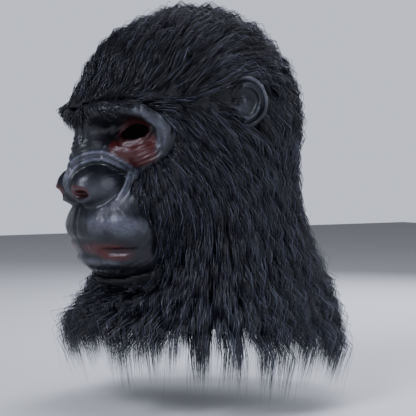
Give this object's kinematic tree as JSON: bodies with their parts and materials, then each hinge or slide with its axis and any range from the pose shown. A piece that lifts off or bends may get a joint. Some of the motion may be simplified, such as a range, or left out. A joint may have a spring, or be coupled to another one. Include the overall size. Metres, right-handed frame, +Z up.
{
  "type": "gorilla mask",
  "caption": "Full-head gorilla costume mask: moulded face and ears on a cloth hood covered with long dark fur down over the neck.",
  "frame": {"origin": "inside of the hood's top, where it rests on the wearer's crown", "axes": "+Z up, -Y the way the face looks, +X the wearer's left"},
  "size_m": [0.2855, 0.3202, 0.4051],
  "materials": {
    "face": "satin moulded latex, dry-brushed grey, dark red round the eyes and mouth",
    "hood": "matte knit",
    "ear_left": "satin moulded latex",
    "ear_right": "satin moulded latex",
    "fur_crown": "long glossy pile",
    "fur_cheek_left": "long glossy pile",
    "fur_cheek_right": "long glossy pile",
    "fur_back": "long glossy pile",
    "fur_skirt": "long glossy pile"
  },
  "bodies": {
    "root": {"face": "face", "hood": "hood", "ear_left": "ear_left", "ear_right": "ear_right", "fur_crown": "fur_crown", "fur_cheek_left": "fur_cheek_left", "fur_cheek_right": "fur_cheek_right", "fur_back": "fur_back", "fur_skirt": "fur_skirt"}
  },
  "joints": []
}
